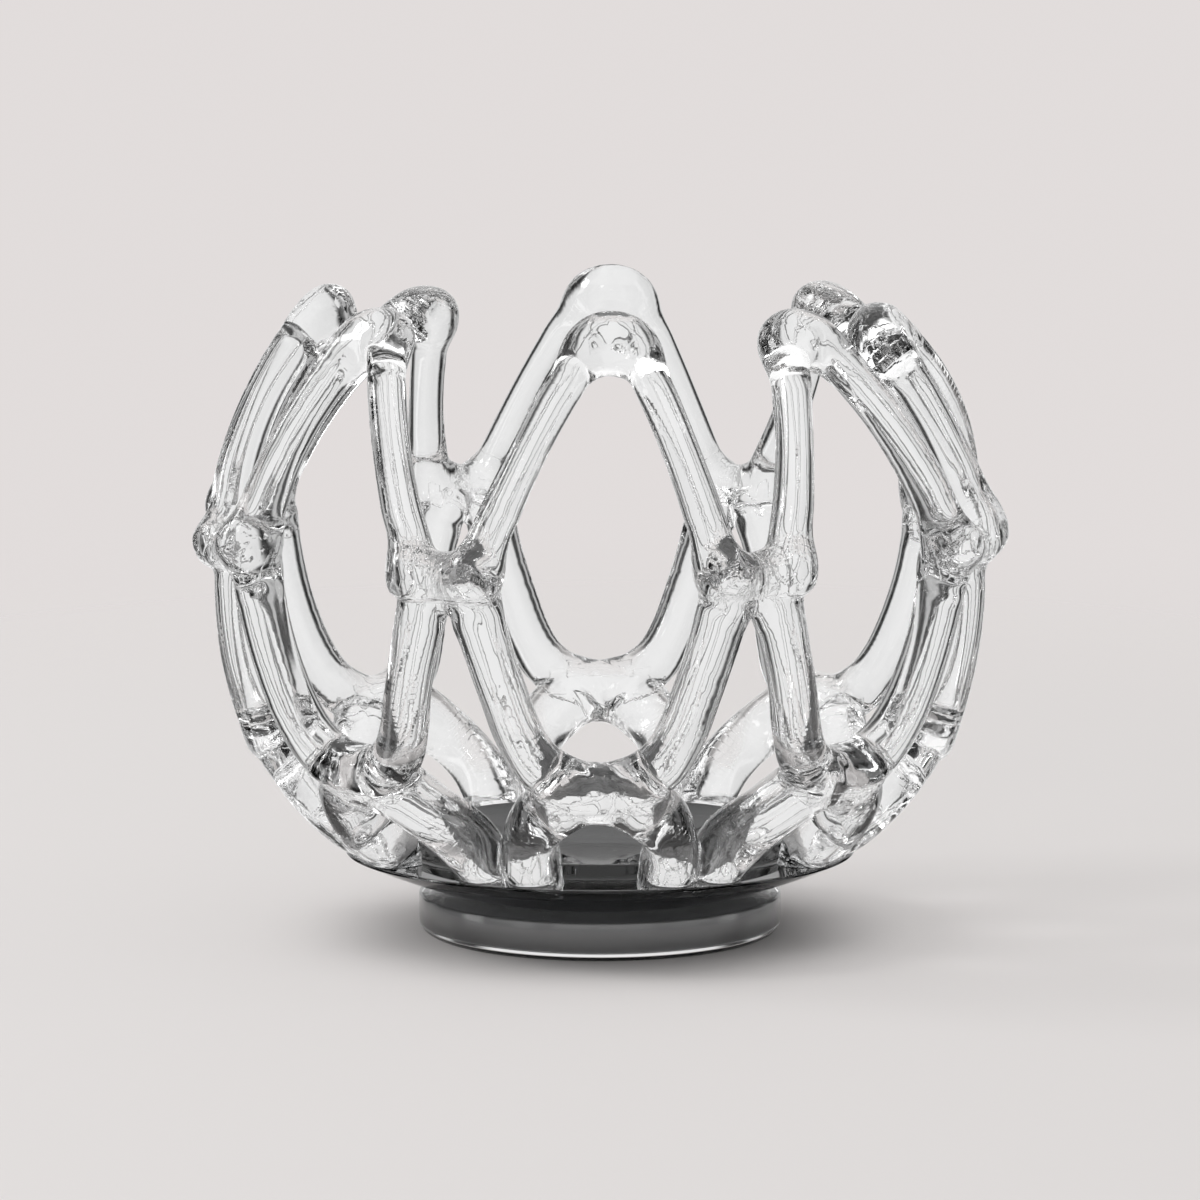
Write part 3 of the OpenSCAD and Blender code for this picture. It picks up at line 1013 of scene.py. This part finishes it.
foot_glass = new_glass("clear_foot_glass", shadow_left / 2)[0]
matte_painted_shade_glass, matte_painted_shade_shader = new_glass("matte_underside_painted_shade", shadow_left / 2)
matte_painted_shade_shader.inputs["Roughness"].default_value = ground_roughness
matte_painted_shade_shader.inputs["Base Color"].default_value = underside_painted_shade
for form, glasses in (
    (foot, (foot_glass, seam_glass, matte_painted_shade_glass)),
    (dish, (smoke_glass, smoke_seam)),
):
    form.data.materials.clear()
    for glass in glasses:
        form.data.materials.append(glass)
print("glasses of the foot:", [glass.name for glass in foot.data.materials])

# %% [markdown]
# ## Where the dish is fused to the rest
# Light doesn't turn where a clear root has melted into the smoke dish, or the dish into the foot.
# So the faces of the dish under the roots and over the foot, and the top of the foot, get the seam
# materials. Only then do the roots draw the dark of the dish up into their feet, as in the
# photograph.

# %% Find the fused faces
level_slack = 0.001
inset = 0.3


def under_a_root(centre):
    """Whether a spot on the rim lies well inside the footprint of a root."""
    side_turn = step / 2 - math.degrees(math.asin(side_share * root_cane_d / stand_r))
    for i in range(petals):
        for turn in (i * step - side_turn, i * step + side_turn):
            out, across = direction(turn, 0), direction(turn + 90, 0)
            far_out = (centre.dot(out) - stand_r) / (rim_w / 2 - inset)
            far_side = centre.dot(across) / (root_cane_d / 2 - inset)
            if centre.dot(out) > 0 and far_out**2 + far_side**2 < 1:
                return True
    return False


fused_faces = 0
for face in dish.data.polygons:
    centre = face.center / MM
    at_foot = abs(centre.z - foot_h) < level_slack
    on_rim = abs(centre.z - rim_h) < level_slack
    if at_foot or (on_rim and under_a_root(centre)):
        face.material_index = 1
        fused_faces += 1
for face in foot.data.polygons:
    if face.center.z / MM > foot_top - level_slack:
        face.material_index = 1
    if face.center.z / MM < stand_gap + level_slack:
        face.material_index = 2
print("fused faces of the dish:", fused_faces)

# %% [markdown]
# ## The table
# The holder stands on a plain pale table. Seen straight, the table fades into the background far
# behind the holder, so no edge shows. To rays that were bent by the glass it looks smaller: else
# its brightness would fill every cane, and none would have a dark outline.


# %% The table top
def eased(tree, value, low, high, first, last):
    """A smooth change: the first number up to low, the last number from high on."""
    ends = {"From Min": low, "From Max": high, "To Min": first, "To Max": last, "Value": value}
    ease = add_node(tree, "ShaderNodeMapRange", ends, interpolation_type="SMOOTHSTEP")
    return ease.outputs["Result"]


table_tone = (0.735, 0.708, 0.699, 1)
seen_fade = 0.25, 0.6
bent_fade = 0.07, 0.16
squeeze = (1.6, 1, 1)

bpy.ops.object.select_all(action="DESELECT")
bpy.ops.mesh.primitive_circle_add(vertices=128, radius=3, fill_type="NGON", location=(0, 0, 0))
table = bpy.context.object
table.name = "table"
pale = bpy.data.materials.new("pale_table")
pale.use_nodes = True
tree = pale.node_tree
top = tree.nodes["Principled BSDF"]
top.inputs["Base Color"].default_value = table_tone
top.inputs["Roughness"].default_value = 1
top.inputs["Specular IOR Level"].default_value = 0
spot = add_node(tree, "ShaderNodeTexCoord").outputs["Object"]
narrow = add_node(tree, "ShaderNodeVectorMath", {0: spot, 1: squeeze}, operation="MULTIPLY")
away = add_node(tree, "ShaderNodeVectorMath", {0: narrow.outputs["Vector"]}, operation="LENGTH")
far = away.outputs["Value"]
small, large = eased(tree, far, *bent_fade, 1, 0), eased(tree, far, *seen_fade, 1, 0)
eye = add_node(tree, "ShaderNodeLightPath").outputs["Is Camera Ray"]
pick = add_node(tree, "ShaderNodeMix", {"Factor": eye, "A": small, "B": large})
tree.links.new(pick.outputs["Result"], top.inputs["Alpha"])
table.data.materials.append(pale)
print("table fades out at", seen_fade[1], "m, and at", bent_fade[1], "m for bent rays")

# %% [markdown]
# ## The surroundings
# Glass needs a bright field behind it and darker surroundings at the sides. The bright field fills
# the canes, the dark sides draw their edges, and narrow strips of light give the streaks. A
# photographer puts up white and black cards for that. Here the surroundings are painted by
# direction, as a ramp of tones once round the holder.

# %% Tones by direction
band_tones = [
    (-180, 0.7), (-154, 0.65), (-147, 0.01), (-141, 0.01), (-135, 0.5), (-129, 0.5),
    (-120, 0.01), (-104, 0.01), (-97, 2.4), (-89, 2.4), (-80, 0.01), (-56, 0.01), (-50, 0.5),
    (-45, 0.5), (-39, 0.01), (-34, 0.01), (-27, 0.76), (0, 0.84), (25, 0.8), (33, 0.01),
    (40, 0.01), (45, 0.45), (50, 0.45), (56, 0.01), (80, 0.01), (87, 1.4), (93, 1.4),
    (104, 0.01), (141, 0.01), (154, 0.65), (180, 0.7),
]

world = bpy.data.worlds.new("studio")
bpy.context.scene.world = world
world.use_nodes = True
tree = world.node_tree
tree.nodes.clear()
look = add_node(tree, "ShaderNodeTexCoord").outputs["Generated"]
split = add_node(tree, "ShaderNodeSeparateXYZ", {0: look}).outputs
around = worked_out(tree, "ARCTAN2", split["X"], split["Y"])
once_round = {"From Min": -math.pi, "From Max": math.pi, "Value": around}
turned = add_node(tree, "ShaderNodeMapRange", once_round).outputs["Result"]
bands = add_node(tree, "ShaderNodeValToRGB", {"Fac": turned})
bands.color_ramp.interpolation = "EASE"

stops = bands.color_ramp.elements
while len(stops) > 1:
    stops.remove(stops[-1])
stops[0].position = 0
stops[0].color = (band_tones[0][1],) * 3 + (1,)
for turn, tone in band_tones[1:]:
    stop = stops.new((turn + 180) / 360)
    stop.color = (tone, tone, tone, 1)
print("bands of light:", len(stops))

# %% [markdown]
# ## Light from above
# A bright ceiling gives the table its even light. The camera itself sees none of the bands, only
# one pale tone, as a photographer's plain backdrop would give.

# %% The bright ceiling and the plain backdrop
sky_tone = (1.08, 1.08, 1.08, 1)
sky_from, sky_full = 0.5, 0.72
backdrop_tone = (0.757, 0.72, 0.713, 1)

overhead = eased(tree, split["Z"], sky_from, sky_full, 0, 1)
sky = add_node(
    tree, "ShaderNodeMix", {"Factor": overhead, "A": bands.outputs["Color"], "B": sky_tone},
    data_type="RGBA",
).outputs["Result"]
eye = add_node(tree, "ShaderNodeLightPath").outputs["Is Camera Ray"]
plain = add_node(
    tree, "ShaderNodeMix", {"Factor": eye, "A": sky, "B": backdrop_tone}, data_type="RGBA"
).outputs["Result"]
glow = add_node(tree, "ShaderNodeBackground", {"Color": plain}).outputs[0]
add_node(tree, "ShaderNodeOutputWorld", {"Surface": glow})
print("world nodes:", len(tree.nodes))

# %% [markdown]
# ## Soft boxes
# One large soft box on the left gives the soft shadow on the right. A small weak one at the front
# left adds the short highlights on the crowns. Both are area lights, because a real soft box is a
# bright sheet and not a point.

# %% Two soft boxes
aim = (0, 0, 0.05)


def soft_box(name, place, size, power):
    bpy.ops.object.light_add(type="AREA", location=place)
    box = bpy.context.object
    box.name = name
    box.data.shape = "RECTANGLE"
    box.data.size, box.data.size_y = size
    box.data.energy = power
    box.rotation_euler = (Vector(aim) - Vector(place)).to_track_quat("-Z", "Y").to_euler()


soft_box("key_box", (-1.7, 0.1, 1.15), (0.6, 0.6), 10.5)
soft_box("front_box", (-0.5, -0.9, 0.7), (0.16, 0.3), 0.6)

# %% [markdown]
# ## How the picture is made
# Light has to pass many surfaces in a bowl of canes, so the ray limits go up. Caustics are left
# out, because they would only add noise. The view transform is the plain one, so that pale tones
# stay as they are.

# %% Ray limits and view
scene = bpy.context.scene
scene.view_settings.view_transform = "Standard"
scene.cycles.max_bounces = 28
scene.cycles.transmission_bounces = 28
scene.cycles.glossy_bounces = 10
scene.cycles.transparent_max_bounces = 48
scene.cycles.caustics_reflective = False
scene.cycles.caustics_refractive = False
print("bounces:", scene.cycles.max_bounces)

# %% [markdown]
# ## Handing the pieces over
# Every piece rides on the one body and takes the place of its plain solid.

# %% Hand over
for piece in arches + [foot, dish]:
    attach(piece, "root")
for piece in arches:
    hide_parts(piece.name.split(".")[0])
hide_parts("foot")
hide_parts("dish")
print("pieces handed over:", len(arches) + 2)
